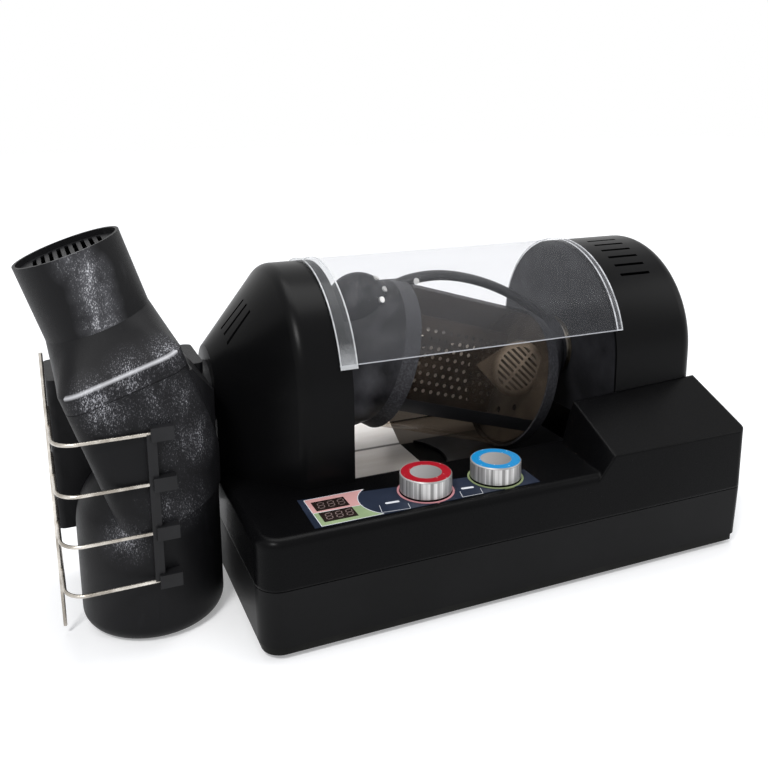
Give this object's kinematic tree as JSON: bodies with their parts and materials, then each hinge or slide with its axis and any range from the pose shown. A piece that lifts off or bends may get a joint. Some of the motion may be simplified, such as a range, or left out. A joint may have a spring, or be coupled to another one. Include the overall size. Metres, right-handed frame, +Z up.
{
  "type": "coffee roaster",
  "caption": "Table-top coffee roaster with a tilted glass chamber under a clear cover, two turning knobs and a separate chaff collector.",
  "frame": {"origin": "middle of the footprint, on the surface it stands on", "axes": "+X along the machine toward its right end as seen from the knobs, +Y to the back, +Z up"},
  "size_m": [0.5076, 0.2314, 0.2675],
  "materials": {
    "satin_black": "satin",
    "mottled_black": "satin",
    "plain_black": "matte",
    "soft_black": "matte",
    "steel_sheet": "brushed",
    "bright_steel": "polished",
    "bearing_metal": "satin",
    "motor_metal": "satin",
    "knob_metal": "satin",
    "red_ring": "gloss",
    "blue_ring": "gloss",
    "printed_marks": "matte",
    "label_slate": "satin",
    "display_dark": "gloss",
    "board_green": "matte",
    "mica": "matte",
    "tube_glass": "clear",
    "clear_plastic": "clear",
    "frosted_rim": "frosted"
  },
  "bodies": {
    "machine": {"base_plate": "steel_sheet", "feet": "soft_black", "casing_screws": "bright_steel", "base_tray": "satin_black", "upper_casing": "satin_black", "left_housing": "satin_black", "right_housing": "satin_black", "bulkheads": "satin_black", "chamber_bearings": "bearing_metal", "chamber_floor_plate": "steel_sheet", "bay_liner": "satin_black", "drive_motor": "motor_metal", "heater_tube": "steel_sheet", "hot_air_duct": "plain_black", "heater_core": "mica", "heater_coil": "bright_steel", "blower_housing": "plain_black", "fan_motor": "motor_metal", "outlet_duct": "steel_sheet", "hinge_brackets": "satin_black", "knob_marks": "printed_marks", "encoders": "satin_black", "display_windows": "display_dark", "control_label": "label_slate", "circuit_board": "board_green", "cord_gland": "satin_black"},
    "cover": {"cover_shell": "clear_plastic", "cover_rim_left": "frosted_rim", "cover_rim_right": "frosted_rim", "cover_knuckles": "clear_plastic"},
    "chamber": {"glass_tube": "tube_glass", "tube_rings": "mottled_black", "dark_band": "plain_black", "left_cap": "mottled_black", "right_cap": "mottled_black", "chamber_handle": "plain_black", "chamber_screws": "bright_steel", "mixing_baffle": "steel_sheet", "grille_plate": "steel_sheet", "end_screens": "steel_sheet", "drive_hub": "bright_steel", "drive_gear": "bright_steel"},
    "pinion": {"motor_pinion": "bright_steel"},
    "impeller": {"fan_impeller": "plain_black"},
    "left_plunger": {"knob_shaft_left": "bright_steel"},
    "left_knob": {"knob_left": "knob_metal", "knob_ring_left": "red_ring"},
    "right_plunger": {"knob_shaft_right": "bright_steel"},
    "right_knob": {"knob_right": "knob_metal", "knob_ring_right": "blue_ring"},
    "collector": {"collector_left": "mottled_black", "collector_right": "mottled_black", "inlet_box": "mottled_black", "inlet_gasket": "soft_black", "wire_guard": "bright_steel", "guard_clips": "plain_black"},
    "collector_top": {"shoulder_cap": "mottled_black", "exhaust_neck": "mottled_black", "neck_screen": "steel_sheet"}
  },
  "joints": [
    {"name": "cover_hinge", "type": "hinge", "parent": "machine", "child": "cover", "pos_m": [0.06875, 0.1122, 0.137], "axis": [-1, 0, 0], "range_deg": [0, 95]},
    {"name": "chamber_spin", "type": "hinge", "parent": "machine", "child": "chamber", "pos_m": [0.06875, 0.0294, 0.1365], "axis": [1, 0, 0], "continuous": true},
    {"name": "pinion_spin", "type": "hinge", "parent": "machine", "child": "pinion", "pos_m": [0.18875, 0.0744, 0.1365], "axis": [1, 0, 0], "continuous": true},
    {"name": "fan_spin", "type": "hinge", "parent": "machine", "child": "impeller", "pos_m": [0.20175, 0.0193, 0.034], "axis": [0, 0, 1], "continuous": true},
    {"name": "left_knob_push", "type": "slide", "parent": "machine", "child": "left_plunger", "axis": [0, 0, -1], "range_m": [0, 0.001], "stiffness_N_per_m": 500, "springref_m": -0.002},
    {"name": "left_knob_turn", "type": "hinge", "parent": "left_plunger", "child": "left_knob", "pos_m": [-0.00695, -0.0882, 0.089], "axis": [0, 0, 1], "continuous": true},
    {"name": "right_knob_push", "type": "slide", "parent": "machine", "child": "right_plunger", "axis": [0, 0, -1], "range_m": [0, 0.001], "stiffness_N_per_m": 500, "springref_m": -0.002},
    {"name": "right_knob_turn", "type": "hinge", "parent": "right_plunger", "child": "right_knob", "pos_m": [0.04775, -0.0882, 0.089], "axis": [0, 0, 1], "continuous": true},
    {"name": "collector_pull", "type": "slide", "parent": "machine", "child": "collector", "axis": [-1, 0, 0], "range_m": [0, 0.04]},
    {"name": "collector_top_lift", "type": "slide", "parent": "collector", "child": "collector_top", "axis": [-0.309, 0, 0.9511], "range_m": [0, 0.015]}
  ],
  "couplings": [
    {"joint": "pinion_spin", "follows": "chamber_spin", "ratio": -4}
  ]
}
